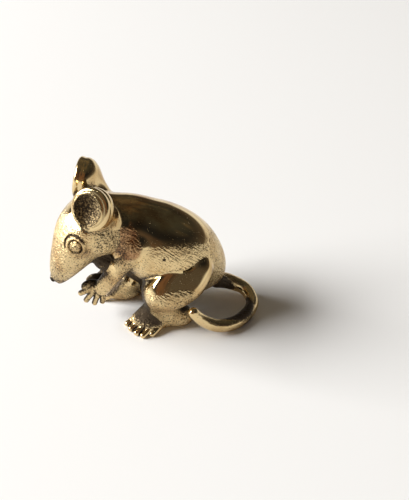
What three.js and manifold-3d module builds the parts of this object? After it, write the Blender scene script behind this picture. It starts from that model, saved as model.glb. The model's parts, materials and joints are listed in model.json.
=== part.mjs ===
// A small brass rat that stands on its hind feet with its forepaws together under its chin.
// Its parts are cast one by one and brazed together: each has a spigot in a socket of its neighbour.
// Millimetres, +Z up. The rat faces -X with its left side on -Y, and its soles and tail lie on Z = 0.

import * as THREE from "three";
import { mergeVertices } from "three/addons/utils/BufferGeometryUtils.js";
import Module from "manifold-3d";

const wasm = await Module();
wasm.setup();

// Fits between the castings
const BRAZE_GAP = 0.3;
const EYE_PROUD = 0.3;
const SOLE_CUT = 0.1;

// Torso: an arched egg from rump to neck. Its stations are shares of these half sizes
const RUMP_X = 12.2;
const RUMP_HEIGHT = 5.8;
const SPINE_LENGTH = 24.7;
const SPINE_RISE_DEGREES = 30.7;
const BACK_ARCH = 0.9;
const TORSO_SIZE = { wide: 7.2, above: 7.2, below: 7.4 };
const TORSO_STATIONS = [
  { at: 0, wide: 0.944, above: 0.903, below: 0.865 },
  { at: 0.27, wide: 1, above: 0.986, below: 1 },
  { at: 0.55, wide: 0.944, above: 1, below: 0.865 },
  { at: 0.8, wide: 0.875, above: 1.056, below: 0.676 },
  { at: 1, wide: 0.806, above: 1.167, below: 0.514 },
];

// Nape: a lump that fills the back of the neck
const NAPE_AT = 0.86;
const NAPE_LIFT = 1.2;
const NAPE_HALF_LENGTH = 6.2;
const NAPE_HALF_WIDTH = 4.8;
const NAPE_HALF_HEIGHT = 4.7;
const NAPE_RISE_DEGREES = 7;

// Head: a second egg from nose to crown, turned a little to the left, with a lump for each cheek
const HEAD_LENGTH = 18;
const HEAD_RISE_DEGREES = 62;
const NOSE_FORWARD = 6.6;
const NOSE_DROP = 10.7;
const BROW_ARCH = 0.4;
const HEAD_TURN_DEGREES = 5;
const TURN_AXIS_BEHIND_NECK = 3;
const HEAD_SIZE = { wide: 5.2, above: 4.4, below: 5.2 };
const HEAD_STATIONS = [
  { at: 0, wide: 0.635, above: 0.682, below: 0.385 },
  { at: 0.3, wide: 0.808, above: 0.705, below: 0.654 },
  { at: 0.6, wide: 0.981, above: 0.886, below: 1 },
  { at: 0.85, wide: 1, above: 0.955, below: 1 },
  { at: 1, wide: 0.962, above: 1, below: 0.962 },
];
const CHEEK_AT = 0.72;
const CHEEK_BACK = 1.75;
const CHEEK_SPREAD = 3.5;
const CHEEK_HALF_LENGTH = 3.3;
const CHEEK_HALF_THICK = 2.6;
const CHEEK_HALF_HEIGHT = 3.6;
const CHEEK_DROOP_DEGREES = 54;
const NECK_PIN_RADIUS = 1.2;
const NECK_PIN_REACH = 3.6;

// Nose pad on the tip of the muzzle
const NOSE_AT = 0.05;
const NOSE_WIDTH = 2;
const NOSE_HEIGHT = 1.4;
const NOSE_DEPTH = 1.6;
const NOSE_PROUD = 0.25;

// Eyes: beads in cups, each inside a raised lid
const EYE_AT = 0.574;
const EYE_RISE = 1.27;
const EYE_RADIUS = 0.8;
const LID_WIDTH = 0.6;
const LID_SUNK = 0.1;

// Ears: round cups with a rolled rim and a notch at the bottom, on a stout root. Each faces its own way
const EAR_AT = 0.93;
const EAR_FORWARD = 1.5;
const EAR_LIFT = 1.7;
const EAR_SPREAD = 4.9;
const EAR_RIM_AHEAD = 0.45;
const EAR_RADIUS = 3.35;
const EAR_RIM_RADIUS = 0.5;
const EAR_BACK_DEPTH = 2.95;
const EAR_HOLLOW_DEPTH = 1.25;
const LEFT_EAR_POSE = { outDegrees: 47.6, upDegrees: 23.5 };
const RIGHT_EAR_POSE = { outDegrees: 21.4, upDegrees: 9.2 };
const EAR_NOTCH_FROM = 1.5;
const EAR_NOTCH_TO = 3.9;
const EAR_NOTCH_LIFT = 0.55;
const EAR_NOTCH_RADIUS = 0.9;
const EAR_NOTCH_END_RADIUS = 0.5;
const EAR_STEM_BEHIND = 1.25;
const EAR_STEM_RADIUS = 2.2;
const EAR_ROOT_AT = 0.857;
const EAR_ROOT_BACK = 1.55;
const EAR_ROOT_SPREAD = 3;
const EAR_ROOT_RADIUS = 2.4;
const EAR_PIN_AT = 0.76;
const EAR_PIN_SPREAD = 4.6;
const EAR_PIN_RADIUS = 0.6;

// Forelegs: a straight flattened arm from the shoulder down to the wrist, and a paw with four fingers
const SHOULDER_AT = 0.72;
const SHOULDER_RISE = 0.7;
const SHOULDER_SUNK = 0.8;
const ARM_FORWARD = 5.5;
const ARM_DROP = 9;
const WRIST_SPREAD = 2.4;
const SHOULDER_RADIUS = 1.8;
const WRIST_RADIUS = 1.35;
const ARM_FLATNESS = 0.8;
const PAW_FORWARD = 1.4;
const PAW_DROP = 0.6;
const PAW_SPREAD = 1.8;
const PAW_HALF_LENGTH = 2.2;
const PAW_HALF_THICK = 1;
const PAW_HALF_HEIGHT = 1.6;
const FINGERS = [
  { root: { ahead: 1.6, out: 0, up: 0.5 }, tip: { ahead: 2.2, out: -0.2, up: -0.7 } },
  { root: { ahead: 0.5, out: 0.4, up: 1 }, tip: { ahead: 1.4, out: 0.1, up: -2 } },
  { root: { ahead: -0.7, out: 0.6, up: 1.1 }, tip: { ahead: 0.1, out: 0.3, up: -2.6 } },
  { root: { ahead: -1.8, out: 0.6, up: 0.8 }, tip: { ahead: -1.2, out: 0.4, up: -2.4 } },
];
const FINGER_ROOT_RADIUS = 0.62;
const FINGER_TIP_RADIUS = 0.52;
const SHOULDER_PIN_AT = 0.3;
const SHOULDER_PIN_OUT = 1;
const SHOULDER_PIN_RADIUS = 0.7;
const SHOULDER_PIN_LENGTH = 3;

// Hind legs: a thigh with a flat outer face against the flank and a short shank down to the foot.
// The right leg is a step ahead of the left one
const HIP_AT = 0.34;
const HIP_FORWARD = 1.6;
const HIP_DROP = 1.7;
const HIP_SUNK = 1.9;
const THIGH_HALF_LENGTH = 6.4;
const THIGH_HALF_THICK = 4.9;
const THIGH_HALF_HEIGHT = 4;
const THIGH_DROOP_DEGREES = 30;
const THIGH_TOE_OUT_DEGREES = 6;
const FACE_OUT = 3.57;
const FACE_TILT_DEGREES = 25;
const FACE_TURN_DEGREES = 5;
const KNEE_FORWARD = 2.7;
const KNEE_DROP = 3.9;
const KNEE_RADIUS = 2.6;
const ANKLE_FORWARD = 1.4;
const ANKLE_HEIGHT = 2.4;
const ANKLE_RADIUS = 2.2;
const SHANK_END_HEIGHT = 1.2;
const LEG_STEP = 2.4;
const LEG_STEP_IN = 0.5;
const HIP_PIN_RADIUS = 1.2;
const HIP_PIN_LENGTH = 3.5;
const ANKLE_PIN_RADIUS = 0.7;
const ANKLE_PIN_BEHIND = 0.9;
const ANKLE_PIN_TOP = 4.4;
const ANKLE_PIN_BOTTOM = 0.9;

// Hind feet: heel, ball, a steep instep and five splayed toes with a flat sole, as offsets from the ankle
const FOOT_STEP = 1;
const FOOT_STEP_IN = 0.4;
const HEEL = { ahead: -0.9, out: 0.2, height: 1.8, halfLength: 3.2, halfWidth: 1.7, halfHeight: 1.9 };
const BALL = { ahead: 3, out: 0.1, height: 1.3, halfLength: 2.9, halfWidth: 2.1, halfHeight: 1.7 };
const INSTEP_TOP = { ahead: 2.2, out: -0.3, height: 3.5, radius: 2 };
const INSTEP_END = { ahead: 5.4, out: -0.7, height: 1.4, radius: 1 };
const TOES = [
  { root: { ahead: 5.4, out: -1.2, height: 1.4 }, tip: { ahead: 7, out: -0.8 } },
  { root: { ahead: 4.9, out: 0, height: 1.5 }, tip: { ahead: 6.55, out: 0.6 } },
  { root: { ahead: 4.2, out: 1, height: 1.4 }, tip: { ahead: 5.75, out: 1.85 } },
  { root: { ahead: 3.4, out: 1.8, height: 1.2 }, tip: { ahead: 4.8, out: 2.7 } },
  { root: { ahead: 2, out: 1.6, height: 1 }, tip: { ahead: 3.3, out: 2.6 } },
];
const TOE_ROOT_RADIUS = 0.62;
const TOE_TIP_RADIUS = 0.52;

// Tail: how far it reaches, and its route from the rump in shares of that
const TAIL_BEHIND = 4.9;
const TAIL_ASIDE = 9.2;
const TAIL_TIP_HEIGHT = 6;
const TAIL_RADIUS = 1.1;
const TAIL_ROUTE = [
  { behind: -0.408, aside: 0, height: 0.8, radius: 1.364 },
  { behind: 0.327, aside: -0.109, height: 0.5, radius: 1.227 },
  { behind: 0.857, aside: -0.033, height: 0.267, radius: 1.045 },
  { behind: 1, aside: 0.261, height: 0.167, radius: 0.955 },
  { behind: 0.653, aside: 0.63, height: 0.167, radius: 1 },
  { behind: 0.041, aside: 0.88, height: 0.192, radius: 1.045 },
  { behind: -0.51, aside: 0.978, height: 0.317, radius: 1 },
  { behind: -1, aside: 1, height: 0.583, radius: 0.909 },
  { behind: -1.429, aside: 0.989, height: 1, radius: 0.773 },
];
const TAIL_PIN_RADIUS = 0.8;
const TAIL_PIN_REACH = 1.2;

// The tools that trim flat faces are this many times as long as the spine
const TRIMMER_SPANS = 4;

// Facets
const FORM_SIDES = 24;
const FORM_RINGS = 14;
const CHEEK_SIDES = 16;
const LIMB_SIDES = 12;
const DIGIT_SIDES = 8;
const PROFILE_STEPS = 4;
const ARM_STEPS = 4;
const SHANK_STEPS = 2;
const DIGIT_STEPS = 1;
const TAIL_STEPS = 28;
const LID_SIDES = 6;
const CAP_STEPS = 3;
const MERGE_DISTANCE = 1e-4;

const UP = new THREE.Vector3(0, 0, 1);
const LATERAL = new THREE.Vector3(0, 1, 0);
const REARWARD = new THREE.Vector3(1, 0, 0);

// Closed skin over a row of rings of equal count, drawn to a point at each end.
// Each ring runs counter-clockwise as seen from the end that the row travels to.
function skin(startPole, rings, endPole) {
  const sides = rings[0].length;
  const points = [startPole, ...rings.flat(), endPole];
  const last = points.length - 1;
  const at = (ring, side) => 1 + ring * sides + (side % sides);
  const index = [];
  for (let side = 0; side < sides; side += 1) {
    index.push(0, at(0, side + 1), at(0, side));
    for (let ring = 0; ring < rings.length - 1; ring += 1) {
      index.push(at(ring, side), at(ring, side + 1), at(ring + 1, side));
      index.push(at(ring, side + 1), at(ring + 1, side + 1), at(ring + 1, side));
    }
    index.push(at(rings.length - 1, side), at(rings.length - 1, side + 1), last);
  }
  const geometry = new THREE.BufferGeometry().setFromPoints(points);
  geometry.setIndex(index);
  return geometry;
}

// Cubic through one column of a station table, with slopes taken across each station's neighbours
function stationValue(stations, column, at) {
  const slope = (i) => {
    const before = stations[Math.max(i - 1, 0)];
    const after = stations[Math.min(i + 1, stations.length - 1)];
    return (after[column] - before[column]) / (after.at - before.at);
  };
  let i = 0;
  while (i < stations.length - 2 && at > stations[i + 1].at) {
    i += 1;
  }
  const span = stations[i + 1].at - stations[i].at;
  const u = (at - stations[i].at) / span;
  const hold = (1 + 2 * u) * (1 - u) ** 2 * stations[i][column];
  const lead = u ** 2 * (3 - 2 * u) * stations[i + 1][column];
  const leave = u * (1 - u) ** 2 * span * slope(i);
  const arrive = u ** 2 * (u - 1) * span * slope(i + 1);
  return hold + lead + leave + arrive;
}

// An egg with an arched axis in the XZ plane: an ellipse across each station, round at both ends
class Egg {
  constructor(start, length, riseDegrees, forward, arch, size, stations) {
    const rise = THREE.MathUtils.degToRad(riseDegrees);
    this.start = start;
    this.length = length;
    this.arch = arch;
    this.size = size;
    this.stations = stations;
    this.along = new THREE.Vector3(forward * Math.cos(rise), 0, Math.sin(rise));
    this.above = new THREE.Vector3(-forward * Math.sin(rise), 0, Math.cos(rise));
    this.across = this.above.clone().cross(this.along);
  }

  half(column, at) {
    return this.size[column] * stationValue(this.stations, column, at);
  }

  axis(at) {
    const lift = this.arch * 4 * at * (1 - at);
    const straight = this.start.clone().addScaledVector(this.along, this.length * at);
    return straight.addScaledVector(this.above, lift);
  }

  // How far the egg swells at a place along it: 0 at its ends and 1 in the middle
  swell(at) {
    return 2 * Math.sqrt(at * (1 - at));
  }

  halfWidth(at) {
    return this.half("wide", at) * this.swell(at);
  }

  // Point on the flank at a height above the axis
  flank(at, rise, side) {
    const ratio = rise / this.half(rise > 0 ? "above" : "below", at);
    const reach = this.half("wide", at) * Math.sqrt(this.swell(at) ** 2 - ratio ** 2);
    return this.axis(at).addScaledVector(this.above, rise).addScaledVector(LATERAL, side * reach);
  }

  // The way that the flank faces there: how fast the scaled radius grows along each of the egg's own axes
  flankFacing(at, rise, side) {
    const point = this.flank(at, rise, side);
    const height = this.half(rise > 0 ? "above" : "below", at);
    return new THREE.Vector3()
      .addScaledVector(LATERAL, point.y / this.half("wide", at) ** 2)
      .addScaledVector(this.above, rise / height ** 2)
      .addScaledVector(this.along, (2 * (2 * at - 1)) / this.length)
      .normalize();
  }

  geometry(grow) {
    const rings = [];
    for (let ring = 1; ring < FORM_RINGS; ring += 1) {
      const turn = (Math.PI * ring) / FORM_RINGS;
      const at = (1 - Math.cos(turn)) / 2;
      const centre = this.axis(at).addScaledVector(this.along, -grow * Math.cos(turn));
      const points = [];
      for (let side = 0; side < FORM_SIDES; side += 1) {
        const angle = (2 * Math.PI * side) / FORM_SIDES;
        const height = this.half(Math.sin(angle) > 0 ? "above" : "below", at) + grow;
        const wide = (this.half("wide", at) + grow) * Math.sin(turn) * Math.cos(angle);
        const high = height * Math.sin(turn) * Math.sin(angle);
        points.push(centre.clone().addScaledVector(this.across, wide).addScaledVector(this.above, high));
      }
      rings.push(points);
    }
    const startPole = this.axis(0).addScaledVector(this.along, -grow);
    const endPole = this.axis(1).addScaledVector(this.along, grow);
    return skin(startPole, rings, endPole);
  }
}

// Round limb along a smooth curve through points, with its radius at each point and domed ends
function limb(points, radii, sides, steps) {
  const curve = new THREE.CatmullRomCurve3(points);
  const frames = curve.computeFrenetFrames(steps);
  const stations = radii.map((radius, i) => ({ at: i / (radii.length - 1), radius }));
  const ringAt = (step, radius, shift) => {
    const centre = curve.getPointAt(step / steps).addScaledVector(frames.tangents[step], shift);
    return Array.from({ length: sides }, (_, side) => {
      const angle = (2 * Math.PI * side) / sides;
      const out = frames.normals[step].clone().multiplyScalar(Math.cos(angle));
      out.addScaledVector(frames.binormals[step], Math.sin(angle));
      return centre.clone().addScaledVector(out, radius);
    });
  };
  const rings = [];
  const capTurn = (cap) => (Math.PI / 2) * (cap / CAP_STEPS);
  const first = radii[0];
  const final = radii[radii.length - 1];
  for (let cap = 1; cap < CAP_STEPS; cap += 1) {
    rings.push(ringAt(0, first * Math.sin(capTurn(cap)), -first * Math.cos(capTurn(cap))));
  }
  for (let step = 0; step <= steps; step += 1) {
    const radius = stationValue(stations, "radius", curve.getUtoTmapping(step / steps));
    rings.push(ringAt(step, radius, 0));
  }
  for (let cap = CAP_STEPS - 1; cap > 0; cap -= 1) {
    rings.push(ringAt(steps, final * Math.sin(capTurn(cap)), final * Math.cos(capTurn(cap))));
  }
  const startPole = curve.getPointAt(0).addScaledVector(frames.tangents[0], -first);
  const endPole = curve.getPointAt(1).addScaledVector(frames.tangents[steps], final);
  return skin(startPole, rings, endPole);
}

// Ellipsoid with its first half axis along a direction and its third one as near upright as can be
function ellipsoid(centre, halves, direction, sides) {
  const forward = direction.clone().normalize();
  const aside = UP.clone().cross(forward).normalize();
  const upright = forward.clone().cross(aside);
  const geometry = new THREE.SphereGeometry(1, sides, sides / 2);
  geometry.scale(halves.x, halves.y, halves.z);
  geometry.applyMatrix4(new THREE.Matrix4().makeBasis(forward, aside, upright).setPosition(centre));
  return geometry;
}

// Geometry squeezed by a factor along a direction through a point
function squeeze(geometry, origin, direction, factor) {
  const turn = new THREE.Quaternion().setFromUnitVectors(direction.clone().normalize(), UP);
  geometry.translate(-origin.x, -origin.y, -origin.z).applyQuaternion(turn).scale(1, 1, factor);
  return geometry.applyQuaternion(turn.invert()).translate(origin.x, origin.y, origin.z);
}

// Straight pin between two points
function pin(from, to, radius) {
  const reach = to.clone().sub(from);
  const geometry = new THREE.CylinderGeometry(radius, radius, reach.length(), LIMB_SIDES);
  geometry.applyQuaternion(new THREE.Quaternion().setFromUnitVectors(LATERAL, reach.clone().normalize()));
  const middle = from.clone().add(to).multiplyScalar(0.5);
  return geometry.translate(middle.x, middle.y, middle.z);
}

// A pin and the socket that takes it: the socket is wider and deeper by the braze gap
function joint(from, tip, radius, place = solid) {
  const floor = tip.clone().sub(from).setLength(BRAZE_GAP).add(tip);
  return {
    pin: place(pin(from, tip, radius)),
    socket: place(pin(from, floor, radius + BRAZE_GAP)),
  };
}

function solid(geometry) {
  const bare = geometry.clone();
  bare.deleteAttribute("normal");
  bare.deleteAttribute("uv");
  const merged = mergeVertices(bare, MERGE_DISTANCE);
  return new wasm.Manifold(new wasm.Mesh({
    numProp: 3,
    vertProperties: new Float32Array(merged.attributes.position.array),
    triVerts: new Uint32Array(merged.index.array),
  }));
}

function join(pieces) {
  return pieces.reduce((whole, piece) => whole.add(piece));
}

// Block that takes off all that lies beyond a plane
function trimmer(place, facing) {
  const size = TRIMMER_SPANS * SPINE_LENGTH;
  const block = new THREE.BoxGeometry(size, size, size).translate(0, 0, size / 2);
  block.applyQuaternion(new THREE.Quaternion().setFromUnitVectors(UP, facing.clone().normalize()));
  return solid(block.translate(place.x, place.y, place.z));
}

function cut(piece, cutters) {
  return cutters.reduce((rest, cutter) => rest.subtract(cutter), piece);
}

function part(name, piece, finish) {
  const mesh = piece.getMesh();
  const geometry = new THREE.BufferGeometry();
  geometry.setAttribute("position", new THREE.BufferAttribute(new Float32Array(mesh.vertProperties), 3));
  geometry.setIndex(new THREE.BufferAttribute(new Uint32Array(mesh.triVerts), 1));
  geometry.computeVertexNormals();
  const node = new THREE.Mesh(geometry, new THREE.MeshStandardMaterial({ ...finish, metalness: 1 }));
  node.name = name;
  return node;
}

// The two eggs that the rest hangs on
const rump = new THREE.Vector3(RUMP_X, 0, RUMP_HEIGHT);
const torso = new Egg(rump, SPINE_LENGTH, SPINE_RISE_DEGREES, -1, BACK_ARCH, TORSO_SIZE, TORSO_STATIONS);
const neck = torso.axis(1);
const nose = new THREE.Vector3(neck.x - NOSE_FORWARD, 0, neck.z - NOSE_DROP);
const skull = new Egg(nose, HEAD_LENGTH, HEAD_RISE_DEGREES, 1, BROW_ARCH, HEAD_SIZE, HEAD_STATIONS);

// What belongs to the head is drawn facing straight ahead and then turned about an upright axis at the neck
const headTurn = new THREE.Matrix4()
  .makeTranslation(neck.x + TURN_AXIS_BEHIND_NECK, 0, 0)
  .multiply(new THREE.Matrix4().makeRotationZ(THREE.MathUtils.degToRad(HEAD_TURN_DEGREES)))
  .multiply(new THREE.Matrix4().makeTranslation(-neck.x - TURN_AXIS_BEHIND_NECK, 0, 0));

function onHead(geometry) {
  return solid(geometry.clone().applyMatrix4(headTurn));
}

// Direction that leans from -X in the XZ plane, upwards for positive degrees
function leaning(degrees) {
  const lean = THREE.MathUtils.degToRad(degrees);
  return new THREE.Vector3(-Math.cos(lean), 0, Math.sin(lean));
}

function torsoForm(grow) {
  const nape = torso.axis(NAPE_AT).addScaledVector(torso.above, NAPE_LIFT);
  const halves = new THREE.Vector3(NAPE_HALF_LENGTH, NAPE_HALF_WIDTH, NAPE_HALF_HEIGHT).addScalar(grow);
  return join([
    solid(torso.geometry(grow)),
    solid(ellipsoid(nape, halves, leaning(NAPE_RISE_DEGREES), FORM_SIDES)),
  ]);
}

function skullForm(grow) {
  const halves = new THREE.Vector3(CHEEK_HALF_LENGTH, CHEEK_HALF_THICK, CHEEK_HALF_HEIGHT).addScalar(grow);
  const pieces = [onHead(skull.geometry(grow))];
  for (const side of [-1, 1]) {
    const cheek = skull.axis(CHEEK_AT).addScaledVector(skull.above, -CHEEK_BACK);
    cheek.addScaledVector(LATERAL, side * CHEEK_SPREAD);
    pieces.push(onHead(ellipsoid(cheek, halves, leaning(-CHEEK_DROOP_DEGREES), CHEEK_SIDES)));
  }
  return join(pieces);
}

const torsoClear = torsoForm(BRAZE_GAP);
const headClear = skullForm(BRAZE_GAP);
const ground = trimmer(new THREE.Vector3(), UP.clone().negate());

// Neck pin: half of it is in the front of the torso and half stands proud along the spine
const neckFoot = neck.clone().addScaledVector(torso.along, -NECK_PIN_REACH);
const neckTip = neck.clone().addScaledVector(torso.along, NECK_PIN_REACH);
const neckJoint = joint(neckFoot, neckTip, NECK_PIN_RADIUS);

// Eye: a bead in a cup on the flank of the head, with a raised lid round it
function eyeSeat(side, sunk) {
  const facing = skull.flankFacing(EYE_AT, EYE_RISE, side);
  const place = skull.flank(EYE_AT, EYE_RISE, side).addScaledVector(facing, -sunk);
  return { facing, place };
}

function eyeBead(side, grow) {
  const { facing, place } = eyeSeat(side, EYE_RADIUS - EYE_PROUD);
  const halves = new THREE.Vector3(EYE_RADIUS, EYE_RADIUS, EYE_RADIUS).addScalar(grow);
  return onHead(ellipsoid(place, halves, facing, LIMB_SIDES));
}

function eyeLid(side) {
  const { facing, place } = eyeSeat(side, LID_SUNK);
  const ring = EYE_RADIUS + BRAZE_GAP + LID_WIDTH / 2;
  const lid = new THREE.TorusGeometry(ring, LID_WIDTH / 2, LID_SIDES, FORM_SIDES);
  lid.applyQuaternion(new THREE.Quaternion().setFromUnitVectors(UP, facing));
  return onHead(lid.translate(place.x, place.y, place.z));
}

function nosePad() {
  const halves = new THREE.Vector3(NOSE_DEPTH, NOSE_WIDTH, NOSE_HEIGHT).multiplyScalar(0.5);
  const depth = skull.half("above", NOSE_AT) * skull.swell(NOSE_AT) + NOSE_PROUD - NOSE_DEPTH / 2;
  const centre = skull.axis(NOSE_AT).addScaledVector(skull.above, depth);
  return onHead(ellipsoid(centre, halves, skull.above, LIMB_SIDES));
}

// Ear: a cup turned about the way it faces, on a stem that widens into the head
function earLayout(side) {
  const pose = side < 0 ? LEFT_EAR_POSE : RIGHT_EAR_POSE;
  const out = THREE.MathUtils.degToRad(pose.outDegrees);
  const up = THREE.MathUtils.degToRad(pose.upDegrees);
  const level = new THREE.Vector3(-Math.cos(out), side * Math.sin(out), 0);
  const facing = level.multiplyScalar(Math.cos(up)).addScaledVector(UP, Math.sin(up));
  const crown = skull.axis(EAR_AT);
  const centre = new THREE.Vector3(crown.x - EAR_FORWARD, side * EAR_SPREAD, crown.z + EAR_LIFT);
  centre.addScaledVector(facing, EAR_RIM_AHEAD);
  const stem = centre.clone().addScaledVector(facing, -EAR_STEM_BEHIND);
  const root = skull.axis(EAR_ROOT_AT).addScaledVector(skull.above, -EAR_ROOT_BACK);
  root.addScaledVector(LATERAL, side * EAR_ROOT_SPREAD);
  return { facing, centre, stem, root };
}

// Half section of the cup from the middle of its back, round the rolled rim, to the middle of its hollow
function earProfile() {
  const rimCentre = EAR_RADIUS - EAR_RIM_RADIUS;
  const hollowRadius = rimCentre - EAR_RIM_RADIUS;
  const back = new THREE.EllipseCurve(0, 0, EAR_RADIUS, EAR_BACK_DEPTH, -Math.PI / 2, 0);
  const rim = new THREE.EllipseCurve(rimCentre, 0, EAR_RIM_RADIUS, EAR_RIM_RADIUS, 0, Math.PI);
  const hollow = new THREE.EllipseCurve(0, 0, hollowRadius, EAR_HOLLOW_DEPTH, 0, -Math.PI / 2, true);
  const points = back.getPoints(PROFILE_STEPS);
  points.push(...rim.getPoints(PROFILE_STEPS).slice(1), ...hollow.getPoints(PROFILE_STEPS).slice(1));
  points[0].x = 0;
  points[points.length - 1].x = 0;
  return points;
}

// The notch runs down out of the hollow in the plane of the rim
function earNotch(side) {
  const { facing, centre } = earLayout(side);
  const down = UP.clone().negate().projectOnPlane(facing).normalize();
  const from = centre.clone().addScaledVector(facing, EAR_NOTCH_LIFT).addScaledVector(down, EAR_NOTCH_FROM);
  const to = centre.clone().addScaledVector(down, EAR_NOTCH_TO);
  return onHead(limb([from, to], [EAR_NOTCH_RADIUS, EAR_NOTCH_END_RADIUS], DIGIT_SIDES, DIGIT_STEPS));
}

// The pin leaves the middle of the cup's wall and goes down into the side of the head
const EAR_MID_WALL = (EAR_BACK_DEPTH + EAR_HOLLOW_DEPTH) / 2;

function earJoint(side) {
  const { facing, centre } = earLayout(side);
  const tip = skull.axis(EAR_PIN_AT).addScaledVector(LATERAL, side * EAR_PIN_SPREAD);
  return joint(centre.addScaledVector(facing, -EAR_MID_WALL), tip, EAR_PIN_RADIUS, onHead);
}

function ear(side) {
  const { facing, centre, stem, root } = earLayout(side);
  const cup = new THREE.LatheGeometry(earProfile(), FORM_SIDES);
  cup.applyQuaternion(new THREE.Quaternion().setFromUnitVectors(LATERAL, facing));
  cup.translate(centre.x, centre.y, centre.z);
  const plugRadius = EAR_RADIUS - EAR_RIM_RADIUS;
  const plugHalves = new THREE.Vector3(EAR_MID_WALL, plugRadius, plugRadius);
  const plug = ellipsoid(centre, plugHalves, facing, LIMB_SIDES);
  const neckOfEar = limb([stem, root], [EAR_STEM_RADIUS, EAR_ROOT_RADIUS], LIMB_SIDES, SHANK_STEPS);
  const shell = join([onHead(cup), cut(onHead(neckOfEar), [onHead(plug)])]);
  return join([cut(shell, [earNotch(side), headClear, torsoClear]), earJoint(side).pin]);
}

// Foreleg: a flattened arm, then a flat paw whose fingers hang side by side
function forelegLayout(side) {
  const spread = torso.halfWidth(SHOULDER_AT) - SHOULDER_SUNK;
  const shoulder = torso.axis(SHOULDER_AT).addScaledVector(UP, SHOULDER_RISE);
  shoulder.addScaledVector(LATERAL, side * spread);
  const wrist = new THREE.Vector3(shoulder.x - ARM_FORWARD, side * WRIST_SPREAD, shoulder.z - ARM_DROP);
  const paw = new THREE.Vector3(wrist.x - PAW_FORWARD, side * PAW_SPREAD, wrist.z - PAW_DROP);
  return { shoulder, wrist, paw };
}

function shoulderJoint(side) {
  const { shoulder, wrist } = forelegLayout(side);
  const foot = shoulder.lerp(wrist, SHOULDER_PIN_AT).addScaledVector(LATERAL, side * SHOULDER_PIN_OUT);
  const tip = foot.clone().addScaledVector(LATERAL, -side * SHOULDER_PIN_LENGTH);
  return joint(foot, tip, SHOULDER_PIN_RADIUS);
}

function arm(side) {
  const { shoulder, wrist } = forelegLayout(side);
  const form = limb([shoulder, wrist], [SHOULDER_RADIUS, WRIST_RADIUS], LIMB_SIDES, ARM_STEPS);
  const outward = LATERAL.clone().projectOnPlane(wrist.clone().sub(shoulder).normalize());
  return solid(squeeze(form, shoulder, outward, ARM_FLATNESS));
}

function foreleg(side) {
  const { paw } = forelegLayout(side);
  const palmHalves = new THREE.Vector3(PAW_HALF_LENGTH, PAW_HALF_THICK, PAW_HALF_HEIGHT);
  const pieces = [arm(side), solid(ellipsoid(paw, palmHalves, leaning(0), LIMB_SIDES))];
  const fromPaw = ({ ahead, out, up }) => paw.clone().add(new THREE.Vector3(-ahead, side * out, up));
  for (const { root, tip } of FINGERS) {
    const radii = [FINGER_ROOT_RADIUS, FINGER_TIP_RADIUS];
    pieces.push(solid(limb([fromPaw(root), fromPaw(tip)], radii, DIGIT_SIDES, DIGIT_STEPS)));
  }
  return join([cut(join(pieces), [torsoClear, headClear]), shoulderJoint(side).pin]);
}

// Hind leg: the thigh lies along the flank, and the shank comes back from the knee to the ankle
function hindLayout(side) {
  const step = side < 0 ? 0 : LEG_STEP;
  const stepIn = side < 0 ? 0 : LEG_STEP_IN;
  const spine = torso.axis(HIP_AT);
  const spread = torso.halfWidth(HIP_AT) - HIP_SUNK - stepIn;
  const hip = new THREE.Vector3(spine.x - HIP_FORWARD - step, side * spread, spine.z - HIP_DROP);
  const knee = new THREE.Vector3(hip.x - KNEE_FORWARD, hip.y, hip.z - KNEE_DROP);
  const ankle = new THREE.Vector3(hip.x - ANKLE_FORWARD, hip.y, ANKLE_HEIGHT);
  return { hip, knee, ankle };
}

// Place on the foot, from offsets ahead of the ankle and outwards
function onFoot(side, { ahead, out, height }) {
  const step = side < 0 ? 0 : FOOT_STEP;
  const stepIn = side < 0 ? 0 : FOOT_STEP_IN;
  const { ankle } = hindLayout(side);
  return new THREE.Vector3(ankle.x - ahead - step, ankle.y + side * (out - stepIn), height);
}

function hipJoint(side) {
  const foot = hindLayout(side).hip.addScaledVector(LATERAL, side * (HIP_SUNK + BRAZE_GAP));
  const tip = foot.clone().addScaledVector(LATERAL, -side * HIP_PIN_LENGTH);
  return joint(foot, tip, HIP_PIN_RADIUS);
}

function ankleJoint(side) {
  const place = hindLayout(side).ankle.addScaledVector(REARWARD, ANKLE_PIN_BEHIND);
  return joint(place.clone().setZ(ANKLE_PIN_TOP), place.clone().setZ(ANKLE_PIN_BOTTOM), ANKLE_PIN_RADIUS);
}

function legForm(side, grow) {
  const { hip, knee, ankle } = hindLayout(side);
  const lie = leaning(-THIGH_DROOP_DEGREES);
  lie.addScaledVector(LATERAL, side * Math.tan(THREE.MathUtils.degToRad(THIGH_TOE_OUT_DEGREES)));
  const halves = new THREE.Vector3(THIGH_HALF_LENGTH, THIGH_HALF_THICK, THIGH_HALF_HEIGHT).addScalar(grow);
  const tilt = THREE.MathUtils.degToRad(FACE_TILT_DEGREES);
  const turn = THREE.MathUtils.degToRad(FACE_TURN_DEGREES);
  const facing = new THREE.Vector3(Math.sin(turn), side * Math.cos(turn), Math.tan(tilt));
  const face = hip.clone().addScaledVector(LATERAL, side * (FACE_OUT + grow));
  return join([
    cut(solid(ellipsoid(hip, halves, lie, FORM_SIDES)), [trimmer(face, facing)]),
    solid(limb([knee, ankle], [KNEE_RADIUS + grow, ANKLE_RADIUS + grow], LIMB_SIDES, SHANK_STEPS)),
  ]);
}

function footForm(side, grow) {
  const lumps = [HEEL, BALL].map((form) => {
    const halves = new THREE.Vector3(form.halfLength, form.halfWidth, form.halfHeight).addScalar(grow);
    return solid(ellipsoid(onFoot(side, form), halves, leaning(0), LIMB_SIDES));
  });
  const route = [INSTEP_TOP, INSTEP_END];
  const radii = route.map((stop) => stop.radius + grow);
  const instep = limb(route.map((stop) => onFoot(side, stop)), radii, LIMB_SIDES, SHANK_STEPS);
  return join([...lumps, solid(instep)]);
}

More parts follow.
